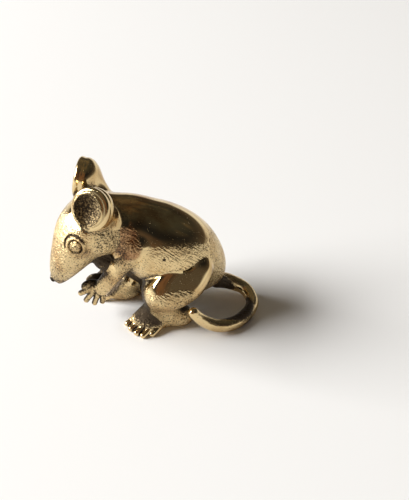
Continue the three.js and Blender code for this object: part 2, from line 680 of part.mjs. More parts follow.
function hindLeg(side) {
  const below = trimmer(new THREE.Vector3(0, 0, SHANK_END_HEIGHT), UP.clone().negate());
  const trimmed = cut(legForm(side, 0), [torsoClear, footForm(side, BRAZE_GAP), below]);
  return join([trimmed, hipJoint(side).pin, ankleJoint(side).pin]);
}

function hindFoot(side) {
  const pieces = [footForm(side, 0)];
  for (const { root, tip } of TOES) {
    const route = [onFoot(side, root), onFoot(side, { ...tip, height: TOE_TIP_RADIUS - SOLE_CUT })];
    pieces.push(solid(limb(route, [TOE_ROOT_RADIUS, TOE_TIP_RADIUS], DIGIT_SIDES, DIGIT_STEPS)));
  }
  return cut(join(pieces), [ground, ankleJoint(side).socket]);
}

// Tail: one tapering curve from the rump round to the left, with its tip raised beside the left thigh
const tailPoints = TAIL_ROUTE.map((stop) => new THREE.Vector3(
  rump.x + TAIL_BEHIND * stop.behind,
  -TAIL_ASIDE * stop.aside,
  TAIL_TIP_HEIGHT * stop.height,
));
const tailPinTip = tailPoints[0].clone().sub(tailPoints[1]).setLength(TAIL_PIN_REACH).add(tailPoints[0]);
const tailJoint = joint(tailPoints[1], tailPinTip, TAIL_PIN_RADIUS);

function tail() {
  const radii = TAIL_ROUTE.map((stop) => TAIL_RADIUS * stop.radius);
  const form = solid(limb(tailPoints, radii, LIMB_SIDES, TAIL_STEPS));
  return join([cut(form, [torsoClear, legForm(-1, BRAZE_GAP), ground]), tailJoint.pin]);
}

function body() {
  const sockets = [tailJoint.socket];
  for (const side of [-1, 1]) {
    sockets.push(hipJoint(side).socket, shoulderJoint(side).socket);
  }
  return cut(join([torsoForm(0), neckJoint.pin]), sockets);
}

function head() {
  const cutters = [torsoClear, neckJoint.socket];
  const pieces = [skullForm(0), nosePad()];
  for (const side of [-1, 1]) {
    pieces.push(eyeLid(side));
    cutters.push(eyeBead(side, BRAZE_GAP), earJoint(side).socket);
  }
  return cut(join(pieces), cutters);
}

// The assembly, centred over the ground that it covers
const POLISHED = { color: 0xc4a265, roughness: 0.28 };
const WORN = { color: 0xa98a55, roughness: 0.36 };
const DARKENED = { color: 0x8a6e45, roughness: 0.42 };

const figurine = new THREE.Group();
figurine.add(part("body", body(), POLISHED));
figurine.add(part("head", head(), POLISHED));
figurine.add(part("tail", tail(), WORN));
for (const [name, side] of [["left", -1], ["right", 1]]) {
  figurine.add(part(`${name}_ear`, ear(side), DARKENED));
  figurine.add(part(`${name}_eye`, eyeBead(side, 0), WORN));
  figurine.add(part(`${name}_foreleg`, foreleg(side), WORN));
  figurine.add(part(`${name}_hind_leg`, hindLeg(side), POLISHED));
  figurine.add(part(`${name}_hind_foot`, hindFoot(side), WORN));
}
const middle = new THREE.Box3().setFromObject(figurine).getCenter(new THREE.Vector3());
figurine.position.set(-middle.x, -middle.y, 0);

export default figurine;
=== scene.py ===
# %% [markdown]
# # A small brass rat
#
# The object is a brass ornament about 35 mm long: a rat that stands on its hind feet, with its forepaws
# together under its chin and its tail curled round on the table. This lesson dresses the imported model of
# it. Each cell makes one piece or one finish and prints what it made.
#
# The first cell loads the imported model. Its nodes fix where everything is, so the lesson measures them
# and never moves them.

# %% Load the frame
import json
import math

import bpy
import numpy as np
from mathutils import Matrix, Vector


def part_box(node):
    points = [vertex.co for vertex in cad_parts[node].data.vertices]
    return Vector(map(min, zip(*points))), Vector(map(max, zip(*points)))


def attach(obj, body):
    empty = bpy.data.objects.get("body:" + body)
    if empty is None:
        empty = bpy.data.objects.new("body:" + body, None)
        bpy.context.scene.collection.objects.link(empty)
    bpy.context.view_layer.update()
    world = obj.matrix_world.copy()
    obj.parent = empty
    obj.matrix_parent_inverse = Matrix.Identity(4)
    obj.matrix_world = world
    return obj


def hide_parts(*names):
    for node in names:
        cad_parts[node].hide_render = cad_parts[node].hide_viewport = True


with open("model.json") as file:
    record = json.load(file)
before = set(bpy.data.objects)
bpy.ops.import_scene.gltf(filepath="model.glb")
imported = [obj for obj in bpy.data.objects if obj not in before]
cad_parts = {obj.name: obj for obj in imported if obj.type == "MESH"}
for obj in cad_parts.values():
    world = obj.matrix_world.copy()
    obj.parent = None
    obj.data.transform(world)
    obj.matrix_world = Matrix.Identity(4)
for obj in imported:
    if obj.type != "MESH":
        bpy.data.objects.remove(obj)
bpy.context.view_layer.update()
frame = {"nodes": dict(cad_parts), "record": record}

import openvdb
from mathutils import Vector

MM = 0.001
print("nodes:", sorted(frame["nodes"]))

# %% [markdown]
# A modeller works from the animal's middle plane, so the shapes below are written in millimetres in a
# frame of their own: X from the rump, Y from the middle plane, Z from the table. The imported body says
# where that frame is. The roundest place of the rump is the body's highest X, and the middle plane halves
# the body's box.

# %% Modelling frame
BODY_END_X = 12.7

body_low, body_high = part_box("body")
MODEL_ORIGIN = np.array([body_high.x / MM - BODY_END_X, (body_low.y + body_high.y) / 2 / MM, 0.0])


def model_box(node):
    """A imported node's lowest and highest corners, in millimetres from the modelling origin."""
    low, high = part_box(node)
    return np.array(low) / MM - MODEL_ORIGIN, np.array(high) / MM - MODEL_ORIGIN


print("modelling origin in mm:", MODEL_ORIGIN.round(3))

# %% [markdown]
# The camera comes next, because every later choice is looked at through it. It stands to the left of the
# animal, turned 10 degrees towards its face and 35 degrees above the table. The picture is 409 by 500
# pixels, so the sensor's 36 mm runs along the upright side.

# %% Camera
CAMERA_AIM = (9.2, 0.0, 10.9)
CAMERA_AZIMUTH = math.radians(-10)
CAMERA_ELEVATION = math.radians(35)
CAMERA_DISTANCE = 150
CAMERA_LENS = 64.8
SENSOR_SIDE = 36
CLIP_START = 0.005

camera_data = bpy.data.cameras.new("camera")
camera_data.lens = CAMERA_LENS
camera_data.sensor_width = SENSOR_SIDE
camera_data.clip_start = CLIP_START
camera = bpy.data.objects.new("camera", camera_data)
bpy.context.collection.objects.link(camera)
camera_back = Vector((
    math.sin(CAMERA_AZIMUTH) * math.cos(CAMERA_ELEVATION),
    -math.cos(CAMERA_AZIMUTH) * math.cos(CAMERA_ELEVATION),
    math.sin(CAMERA_ELEVATION),
))
camera.location = (Vector(MODEL_ORIGIN) + Vector(CAMERA_AIM) + CAMERA_DISTANCE * camera_back) * MM
camera.rotation_euler = camera_back.to_track_quat("Z", "Y").to_euler()
bpy.context.scene.camera = camera
print("camera at", [round(c, 4) for c in camera.location])

# %% [markdown]
# ## Wax before brass
#
# Such a rat is most likely modelled in wax and cast: lumps are pressed together, joints smoothed over
# with a warm tool, details cut in. A lofted grid per limb would leave a hard line wherever two limbs
# meet, and on polished metal such a line shows at once. So the skin is worked out as a distance field: a
# function that says how far a point is outside the wax, or inside it when negative. Fields can be pressed
# together with a soft minimum, which fills the corner between two lumps as wax does.
#
# First come three small helpers that the shapes share: a direction of length 1, the axes along a
# direction, and a smooth curve through given values.

# %% Directions and curves
UP = (0, 0, 1)
TINY = 1e-9


def unit(vector):
    """The vector divided by its length."""
    return np.asarray(vector, float) / np.linalg.norm(vector)


def axes_along(direction):
    """Three columns: the direction, the level direction across it, and the one as near up as can be."""
    ahead = unit(direction)
    across = unit(np.cross(UP, ahead))
    return np.stack([ahead, across, np.cross(ahead, across)], axis=1)


def through(places, values, at):
    """Cubic through values at places, whose slope at each place is that of its neighbours."""
    places, values = np.asarray(places, float), np.asarray(values, float)
    slopes_there = np.gradient(values, places)
    i = np.clip(np.searchsorted(places, at, side="right") - 1, 0, len(places) - 2)
    span = places[i + 1] - places[i]
    u = (at - places[i]) / span
    ends = (1 + 2 * u) * (1 - u) ** 2 * values[i] + u ** 2 * (3 - 2 * u) * values[i + 1]
    return ends + span * (u * (1 - u) ** 2 * slopes_there[i] + u ** 2 * (u - 1) * slopes_there[i + 1])


print("a curve through 0, 1, 0 at a quarter:", through((0, 1, 2), (0, 1, 0), np.array([0.5])))

# %% [markdown]
# The modeller's lumps are an egg with an arched axis for torso and head, a plain lump, a tapered rod, a
# limb with an oval section, and a ring for the rims of the ears. Rod and ring measure their distance
# directly. For the others a point is scaled until the surface has radius 1, and the scaled radius is
# turned back into a length by how fast it grows there. Near the surface, where it matters, that is as
# good.

# %% Lumps of wax
def unscaled(scaled, growth):
    """Distance from a scaled radius: how far that is from 1, times the radius, over its growth."""
    return scaled * (scaled - 1) / np.maximum(growth, TINY)


def egg(points, start, end, arch, at, wide, above, below):
    """Egg along an arched line in the XZ plane: an ellipse across each station, round at both ends. The
    half sizes to the side, above and below run through values at stations from 0 to 1."""
    axis = np.subtract(end, start)
    length = np.hypot(*axis)
    axis = axis / length
    normal = np.array([-axis[1], axis[0]]) * np.sign(axis[0])
    x, z = points[:, 0] - start[0], points[:, 2] - start[1]
    place = (x * axis[0] + z * axis[1]) / length
    rise = x * normal[0] + z * normal[1] - arch * 4 * place * (1 - place)
    held = np.clip(place, 0, 1)
    side = through(at, wide, held)
    height = np.where(rise > 0, through(at, above, held), through(at, below, held))
    ends = 2 * place - 1
    scaled = np.sqrt((points[:, 1] / side) ** 2 + (rise / height) ** 2 + ends ** 2)
    growth = np.sqrt((points[:, 1] / side ** 2) ** 2 + (rise / height ** 2) ** 2 + (2 * ends / length) ** 2)
    return unscaled(scaled, growth)


def lump(points, centre, radii, along=(1, 0, 0)):
    """Ellipsoid: the offset from its centre, in axes along a direction, divided by its radii."""
    local = (points - centre) @ axes_along(along)
    scaled = np.linalg.norm(local / radii, axis=1)
    return unscaled(scaled, np.linalg.norm(local / np.square(radii), axis=1))


def beside_axis(points, start, end):
    """The place on a straight axis that is nearest to each point, from 0 to 1, and the offset from it."""
    start = np.asarray(start, float)
    axis = np.asarray(end, float) - start
    place = np.clip((points - start) @ axis / (axis @ axis), 0, 1)
    return place, points - (start + place[:, None] * axis)


def rod(points, start, end, start_radius, end_radius):
    """Tapered rod with round ends: distance to the nearest place on its axis, less the radius there."""
    place, offset = beside_axis(points, start, end)
    return np.linalg.norm(offset, axis=1) - start_radius - (end_radius - start_radius) * place


def flat_limb(points, start, end, start_radii, end_radii, facing):
    """Tapered rod with an oval section: the offset from its axis is divided by the half widths across the
    limb and through it, which run evenly from one end to the other."""
    facing = unit(facing)
    place, offset = beside_axis(points, start, end)
    through_it = offset @ facing
    across = np.linalg.norm(offset - through_it[:, None] * facing, axis=1)
    half_width = start_radii[0] + (end_radii[0] - start_radii[0]) * place
    half_depth = start_radii[1] + (end_radii[1] - start_radii[1]) * place
    scaled = np.sqrt((across / half_width) ** 2 + (through_it / half_depth) ** 2)
    growth = np.sqrt((across / half_width ** 2) ** 2 + (through_it / half_depth ** 2) ** 2)
    return unscaled(scaled, growth)


def ring(points, centre, facing, radius, thickness):
    """Ring round an axis: distance to its centre circle, less half of its thickness."""
    local = (points - centre) @ axes_along(facing)
    outward = np.hypot(local[:, 1], local[:, 2]) - radius
    return np.hypot(outward, local[:, 0]) - thickness / 2


print("a lump of radius 2 from 5 away:", lump(np.array([[5.0, 0, 0]]), centre=(0, 0, 0), radii=(2, 2, 2)))

# %% [markdown]
# Lumps are put together and cut by three more tools. Pressing takes the smaller of two distances and
# fills the corner between them. Carving is the same with inside and outside swapped. Shaving carves with
# a flat plane.

# %% Pressing and carving
def press(first, second, reach):
    """Soft minimum: where two distances differ by less than reach, the square of the missing part, over
    four times reach, is filled in."""
    fill = np.maximum(reach - np.abs(first - second), 0)
    return np.minimum(first, second) - fill ** 2 / (4 * reach)


def carve(wax, tool, reach):
    """Wax with a tool's shape taken out of it, and the edge rounded over reach."""
    return -press(-wax, tool, reach)


def shave(wax, points, place, facing, reach):
    """Wax with all that lies beyond a plane taken off, and the edge rounded over reach."""
    return carve(wax, (place - points) @ unit(facing), reach)


print("two surfaces 1 mm away, pressed over 2 mm:", press(np.array([1.0]), np.array([1.0]), reach=2.0))

# %% [markdown]
# ## The lumps
#
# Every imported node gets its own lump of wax, so the finished skin can be cut into the same pieces later.
# The torso is one egg that arches from rump to neck, with a lump for the neck. It could be a lofted grid,
# but an egg has no poles, and its back stays smooth where the metal is most polished.

# %% Torso
def torso(points):
    """Arched egg from the rump up to the neck, with a lump pressed onto it for the neck."""
    back = egg(points, start=(12.2, 5.8), end=(-9.0, 18.4), arch=0.9, at=(0, 0.27, 0.55, 0.8, 1),
               wide=(6.8, 7.2, 6.8, 6.3, 5.8), above=(6.5, 7.1, 7.2, 7.6, 8.4),
               below=(6.4, 7.4, 6.4, 5.0, 3.8))
    neck = lump(points, centre=(-5.0, 0.0, 18.0), radii=(6.0, 4.6, 4.5), along=(-1, 0, 0.12))
    return press(back, neck, reach=2.5)


print("torso at the rump:", torso(np.array([[12.2, 0.0, 5.8]])).round(2))

# %% [markdown]
# The head is a second egg from nose to crown, turned 5 degrees to the left on the neck. It is written
# facing straight ahead, and the points are turned instead. What lies on both sides is made once, on
# points that are folded onto the animal's right side. The eye's place is only aimed at, and then slid
# onto the skull.

# %% Skull
HEAD_TURN = math.radians(5)
HEAD_PIVOT_X = -6.0
SLOPE_STEP = 0.01
EYE_AIM = (-12.25, 4.4, 17.6)
EYE_SLIDES = 4


def about_neck(points, angle):
    """Points turned by an angle about the upright axis at the neck."""
    x, y = points[..., 0] - HEAD_PIVOT_X, points[..., 1]
    cosine, sine = math.cos(angle), math.sin(angle)
    return np.stack([HEAD_PIVOT_X + cosine * x - sine * y, cosine * y + sine * x, points[..., 2]], axis=-1)


def paired(points):
    """Points folded onto the animal's right side, so that what is made there is made on both sides."""
    return np.stack([points[:, 0], np.abs(points[:, 1]), points[:, 2]], axis=1)


def skull(points):
    """Egg from the nose up to the crown."""
    return egg(points, start=(-15.5, 8.1), end=(-7.2, 23.6), arch=0.4, at=(0, 0.3, 0.6, 0.85, 1),
               wide=(3.3, 4.2, 5.1, 5.2, 5.0), above=(3.0, 3.1, 3.9, 4.2, 4.4),
               below=(2.0, 3.4, 5.2, 5.2, 5.0))


def on_skull(point):
    """The point slid along the skull's slope onto its surface, and the direction that it faces there."""
    point = np.asarray(point, float)
    for _ in range(EYE_SLIDES):
        rises = [skull(point[None] + SLOPE_STEP * axis) - skull(point[None] - SLOPE_STEP * axis)
                 for axis in np.eye(3)]
        slope = np.concatenate(rises) / (2 * SLOPE_STEP)
        point = point - skull(point[None])[0] * slope / (slope @ slope)
    return point, unit(slope)


EYE_CENTRE, EYE_FACING = on_skull(EYE_AIM)
print("eye at", EYE_CENTRE.round(2), "facing", EYE_FACING.round(2))

# %% [markdown]
# A raised lid runs round each eye, with a groove outside it, deepest towards the brow, and a socket
# inside it for the bead. These could be lumps of their own, but they follow the skull's surface, so they
# are heights on it. Cheeks, throat, nose pad and mouth are lumps again, pressed on or carved out.

# %% Head
LID_RADIUS = 1.4
LID_RISE = 0.22
LID_WIDTH = 0.26
GROOVE_RADIUS = LID_RADIUS + 0.45
GROOVE_DEPTH = 0.24
GROOVE_WIDTH = 0.15
GROOVE_MEAN = 0.35
GROOVE_TILT = 0.9
GROOVE_LEAST = 0.05
BROW = unit((-0.6, 0.0, 0.8))
PUPIL_RADIUS = 0.1
SOCKET_RADIUS = LID_RADIUS - 0.4
SOCKET_DEPTH = 0.4
SOCKET_EDGE = 0.1
LID_DEEPEST = -1.5


def lid_height(points):
    """How far the surface round an eye stands up: a raised lid and a groove, each a bell of the distance
    from the line that the eye looks along, and a socket inside them, a step of that distance."""
    offset = points - EYE_CENTRE
    depth = offset @ EYE_FACING
    flat = offset - depth[:, None] * EYE_FACING
    radius = np.linalg.norm(flat, axis=1)
    browward = GROOVE_TILT * flat @ BROW / np.maximum(radius, PUPIL_RADIUS)
    groove_share = np.clip(GROOVE_MEAN + browward, GROOVE_LEAST, 1)
    lid = LID_RISE * np.exp(-((radius - LID_RADIUS) / LID_WIDTH) ** 2)
    groove = GROOVE_DEPTH * groove_share * np.exp(-((radius - GROOVE_RADIUS) / GROOVE_WIDTH) ** 2)
    socket = SOCKET_DEPTH / (1 + np.exp((radius - SOCKET_RADIUS) / SOCKET_EDGE))
    return np.where(depth > LID_DEEPEST, lid - groove - socket, 0)


def head(points):
    """The skull with full cheeks and a throat, a lid and a socket for each eye, a nose pad and a mouth."""
    pair = paired(points)
    cheeks = lump(pair, centre=(-8.3, 3.5, 18.4), radii=(3.3, 2.6, 3.6), along=(-1, 0, -1.4))
    throat = lump(pair, centre=(-7.8, 1.8, 12.5), radii=(1.7, 1.9, 1.7))
    nose = lump(points, centre=(-15.8, 0.0, 9.1), radii=(0.8, 1.0, 0.7), along=(-0.88, 0, 0.47))
    mouth = lump(pair, centre=(-15.95, 0.6, 8.85), radii=(0.95, 1.0, 0.26), along=(0.69, 0, -0.73))
    wax = press(press(skull(points), cheeks, reach=1.5), throat, reach=1.0)
    wax = press(wax - lid_height(pair), nose, reach=0.2)
    return carve(wax, mouth, reach=0.08)


print("head at the nose pad:", head(np.array([[-15.8, 0.0, 9.1]])).round(2))

# %% [markdown]
# The limbs are rods and lumps, and both limbs of a pair come from one function: the points are mirrored,
# not the shape. The foreleg comes down from the shoulder and in to the paw, whose four fingers fan out
# from the wrist.

# %% Forelegs
SHOULDER = (-2.7, 5.0, 16.2)
WRIST = (-8.2, 2.4, 7.2)
KNUCKLES = np.array([(-11.2, 1.8, 7.1), (-10.1, 2.2, 7.6), (-8.9, 2.4, 7.7), (-7.8, 2.4, 7.4)])
FINGER_ROOTS = (KNUCKLES + WRIST) / 2
FINGER_TIPS = np.array([(-11.8, 1.6, 5.9), (-11.0, 1.9, 4.6), (-9.7, 2.1, 4.0), (-8.4, 2.2, 4.2)])


def foreleg(points):
    """Arm, paw and four fingers, for the animal's right side."""
    arm = flat_limb(points, SHOULDER, WRIST, start_radii=(1.8, 1.35), end_radii=(1.35, 1.1),
                    facing=(-0.2, 0.78, 0.6))
    palm = lump(points, centre=(-9.6, 1.45, 6.8), radii=(2.1, 0.85, 1.4), along=(-1, 0, 0.2))
    wax = press(arm, palm, reach=0.5)
    for root, tip in zip(FINGER_ROOTS, FINGER_TIPS):
        wax = press(wax, rod(points, root, tip, start_radius=0.56, end_radius=0.48), reach=0.12)
    return wax


print("fingers:", len(FINGER_TIPS))

# %% [markdown]
# The hind leg is a fat thigh against the flank and a short shank. The real thigh has a flat facet that
# mirrors the room, so its outer face is shaved. The foot has a heel, an instep and five toes that spread
# from the ball.

# %% Hind legs and feet
TOE_KNUCKLES = np.array([
    (-3.0, 3.8, 1.4), (-2.5, 5.0, 1.5), (-1.8, 6.0, 1.4), (-1.0, 6.8, 1.2), (0.4, 6.6, 1.0),
])
TOE_TIPS = np.array([
    (-4.6, 4.2, 0.45), (-4.15, 5.6, 0.45), (-3.35, 6.85, 0.45), (-2.4, 7.7, 0.45), (-0.9, 7.6, 0.45),
])


def hind_leg(points):
    """Thigh with a flat outer face, knee and shank, for the animal's right side."""
    thigh = lump(points, centre=(3.8, 4.9, 9.1), radii=(6.4, 4.9, 4.0), along=(-0.87, 0.105, -0.5))
    thigh = shave(thigh, points, place=(3.8, 8.47, 9.1), facing=(0.08, 0.9, 0.42), reach=1.0)
    shank = rod(points, (1.1, 5.0, 5.2), (2.4, 5.0, 2.4), start_radius=2.6, end_radius=2.2)
    return press(thigh, shank, reach=1.2)


def hind_foot(points):
    """Heel, ball, instep and five spread toes, for the animal's right side."""
    heel = lump(points, centre=(4.2, 5.2, 1.8), radii=(2.3, 1.7, 1.9))
    ball = lump(points, centre=(-0.6, 5.1, 1.3), radii=(2.9, 2.1, 1.7))
    instep = rod(points, (0.2, 4.7, 3.5), (-3.0, 4.3, 1.4), start_radius=2.0, end_radius=1.0)
    wax = press(press(heel, ball, reach=1.0), instep, reach=0.8)
    for knuckle, tip in zip(TOE_KNUCKLES, TOE_TIPS):
        wax = press(wax, rod(points, knuckle, tip, start_radius=0.62, end_radius=0.52), reach=0.15)
    return wax


print("toes:", len(TOE_TIPS))

# %% [markdown]
# The ears are round cups on a stout root. The rim is a rolled ring, the back a lump, and the hollow is
# carved out, so that its edge meets the rim cleanly. The left ear faces out, the right one more ahead.

# %% Ears
EAR_CENTRE = np.array([-9.35, 4.9, 24.2])
EAR_ROOT = (-7.2, 3.0, 20.7)
ROOT_BEHIND = 0.8
BACK_BEHIND = 0.5
RIM_OUT = 0.45
BOWL_OUT = 1.0
BOWL_AHEAD = 0.3
NOTCH_FROM = 1.5
NOTCH_TO = 3.9
NOTCH_BEHIND = 0.5
LEFT_EAR_FACING = unit((-0.62, 0.68, 0.40))
RIGHT_EAR_FACING = unit((-0.92, 0.36, 0.16))


def across_ear(direction, facing):
    """A direction laid flat across the way that an ear faces."""
    return unit(np.cross(np.cross(facing, direction), facing))


def scoop(points, facing):
    """What is taken out of an ear: a bowl, and the notch that runs out of it at the bottom."""
    down = across_ear((0, 0, -1), facing)
    ahead = across_ear((-1, 0, 0), facing)
    middle = EAR_CENTRE + BOWL_OUT * facing + BOWL_AHEAD * ahead
    bowl = lump(points, middle, radii=(1.8, 2.3, 2.35), along=facing)
    notch_end = middle + NOTCH_TO * down - NOTCH_BEHIND * facing
    notch = rod(points, middle + NOTCH_FROM * down, notch_end, start_radius=0.9, end_radius=0.5)
    return press(bowl, notch, reach=0.4)


def ear(points, facing):
    """Cup, rolled rim, scooped hollow and root, for the animal's right side."""
    back = lump(points, EAR_CENTRE - BACK_BEHIND * facing, radii=(2.0, 3.3, 3.3), along=facing)
    root = rod(points, EAR_CENTRE - ROOT_BEHIND * facing, EAR_ROOT, start_radius=2.2, end_radius=2.4)
    rim = ring(points, EAR_CENTRE + RIM_OUT * facing, facing, radius=2.85, thickness=1.0)
    cup = press(press(back, root, reach=1.5), rim, reach=0.3)
    return carve(cup, scoop(points, facing), reach=0.2)


print("ear facings:", LEFT_EAR_FACING.round(2), RIGHT_EAR_FACING.round(2))

# %% [markdown]
# ## One skin from all the lumps
#
# The shapes above are written for the right side and for a head that faces ahead. So the points are
# changed before a shape sees them: turned for the head and the ears, mirrored for the left side, and
# moved for the right hind leg, which stands ahead of the left one. The right paw is tucked in behind the
# left one, the more the lower down the arm.

# %% Place each lump
LUMPS = {
    "body": torso, "head": head, "hind_leg": hind_leg, "hind_foot": hind_foot, "foreleg": foreleg,
    "left_ear": lambda points: ear(points, LEFT_EAR_FACING),
    "right_ear": lambda points: ear(points, RIGHT_EAR_FACING),
}
STEPPED_AHEAD = {
    "right_hind_leg": np.array([-2.4, -0.5, 0.0]),
    "right_hind_foot": np.array([-3.4, -0.9, 0.0]),
}
RIGHT_PAW_TUCK = np.array([0.9, -0.55, -0.6])


def kind_of(name):
    """A node's name without its side."""
    return name.split("_", 1)[-1]


def own_points(name, points):
    """Points as a node's lump sees them: turned with the head, mirrored on the left, moved on the right."""
    if name == "head" or kind_of(name) == "ear":
        points = about_neck(points, -HEAD_TURN)
    if name.startswith("left"):
        points = points * (1, -1, 1)
    if name == "right_foreleg":
        down_the_arm = np.clip((SHOULDER[2] - points[:, 2:]) / (SHOULDER[2] - WRIST[2]), 0, 1)
        points = points - RIGHT_PAW_TUCK * down_the_arm
    return points - STEPPED_AHEAD.get(name, 0)


def lump_of(name, points):
    """The distance field of the lump that stands for a node."""
    return LUMPS.get(name, LUMPS.get(kind_of(name)))(own_points(name, points))


print("moved nodes:", sorted(STEPPED_AHEAD) + ["right_foreleg"])

# %% [markdown]
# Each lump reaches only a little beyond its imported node, so it is worked out only near that node's box.
# Farther off, the distance to the box stands in for it. The lumps are then pressed together one by one,
# each with its own width of smoothing, and the table cuts the soles flat. A few joints are softer at one
# end: the nape, and the places where the thighs run out into the rump.

# %% Press the lumps together
SMOOTHING = {
    "body": 0.0,
    "head": 0.7,
    "left_hind_leg": 0.25, "right_hind_leg": 0.25,
    "left_hind_foot": 0.8, "right_hind_foot": 0.8,
    "left_foreleg": 1.0, "right_foreleg": 1.0,
    "left_ear": 0.5, "right_ear": 0.5,
}
# Axis, where the change starts and ends along it, and the smoothing at its end
SOFTER_END = {
    "head": (2, 18.0, 22.0, 2.5),
    "left_hind_leg": (0, 7.0, 10.0, 0.8),
    "right_hind_leg": (0, 4.6, 7.6, 0.8),
}
BOX_MARGIN = 4.0
boxes = {name: model_box(name) for name in SMOOTHING}


def lumps(points):
    """One row per node: its lump's distance near the node's box, and farther off that to the box."""
    rows = np.empty((len(SMOOTHING), len(points)))
    for row, (name, (low, high)) in zip(rows, boxes.items()):
        row[:] = np.linalg.norm(np.maximum(np.maximum(low - points, points - high), 0), axis=1)
        close = row < BOX_MARGIN
        row[close] = lump_of(name, points[close])
    return rows


def smoothing_at(name, points):
    """How widely a lump is smoothed in at each point: some lumps are smoothed more towards one end."""
    plain = SMOOTHING[name]
    axis, start, end, softest = SOFTER_END.get(name, (0, 0.0, 1.0, plain))
    return plain + (softest - plain) * np.clip((points[:, axis] - start) / (end - start), 0, 1)


def pressed(rows, points):
    """All rows pressed together in turn and cut flat at the table."""
    wax = rows[0]
    for row, name in zip(rows[1:], list(SMOOTHING)[1:]):
        wax = press(wax, row, smoothing_at(name, points))
    return np.maximum(wax, -points[:, 2])


def skin_and_share(points, index):
    """Distance to the whole skin, and to the border of the share of it that is nearest to one lump."""
    rows = lumps(points)
    others = np.delete(rows, index, axis=0).min(axis=0)
    return pressed(rows, points), (rows[index] - others) / 2


print("lumps:", len(SMOOTHING))

# %% [markdown]
# ## From field to mesh
#
# A node's piece is where the point is inside the skin and its own lump is the nearest one. The field is
# sampled on a coarse grid first and on a fine one only near the surface. The volume module that comes
# with Blender turns the samples into quads. Each vertex is then slid along the field's slope until it
# lies on the skin exactly, and a vertex on the border between two pieces is slid onto both surfaces at
# once, so that neighbours meet in a line that doesn't show.

# %% Field to mesh
FINE_STEP = 0.13
FINE_PER_COARSE = 5
NEAR_CELLS = 1.3
SLIDE_PASSES = 3
SLIDE_DAMPING = 1e-4


def refined(samples):
    """Every coarse cell repeated as a block of fine ones."""
    for axis in range(3):
        samples = samples.repeat(FINE_PER_COARSE, axis=axis)
    return samples


def quads_of(field, low, high):
    """Vertices and quads of the surface where the field is nought inside a box."""
    coarse_step = FINE_STEP * FINE_PER_COARSE
    cells = np.ceil((high - low) / coarse_step).astype(int)
    centres = low + (np.indices(cells).reshape(3, -1).T + 0.5) * coarse_step
    rough = field(centres).reshape(cells)
    near = refined(np.abs(rough) < NEAR_CELLS * coarse_step)
    samples = refined(rough).astype(np.float32)
    samples[near] = field(low + (np.argwhere(near) + 0.5) * FINE_STEP)
    volume = openvdb.FloatGrid()
    volume.copyFromArray(samples)
    vertices, quads = volume.convertToQuads()
    return low + (vertices + 0.5) * FINE_STEP, quads.astype(np.int32)


def slopes(fields, points):
    """Values of several fields at points, and their slopes from differences along each axis."""
    values = np.stack(fields(points))
    steps = [np.stack(fields(points + SLOPE_STEP * axis)) - np.stack(fields(points - SLOPE_STEP * axis))
             for axis in np.eye(3)]
    return values, np.stack(steps, axis=2) / (2 * SLOPE_STEP)


def slide(points, index):
    """Points slid onto the skin, onto the border of their share, or onto both where they are near both: the
    shortest step along the slopes that brings the wanted values to nought."""
    for _ in range(SLIDE_PASSES):
        values, grades = slopes(lambda at: skin_and_share(at, index), points)
        wanted = np.abs(values) < FINE_STEP
        wanted[np.argmax(values, axis=0), np.arange(len(points))] = True
        grades = grades * wanted[:, :, None]
        square = np.einsum("ink,jnk->nij", grades, grades) + SLIDE_DAMPING * np.eye(2)
        weights = np.linalg.solve(square, (values * wanted).T[:, :, None])[:, :, 0]
        points = points - np.clip(np.einsum("ni,ink->nk", weights, grades), -FINE_STEP, FINE_STEP)
    return points


print("fine step in mm:", FINE_STEP)
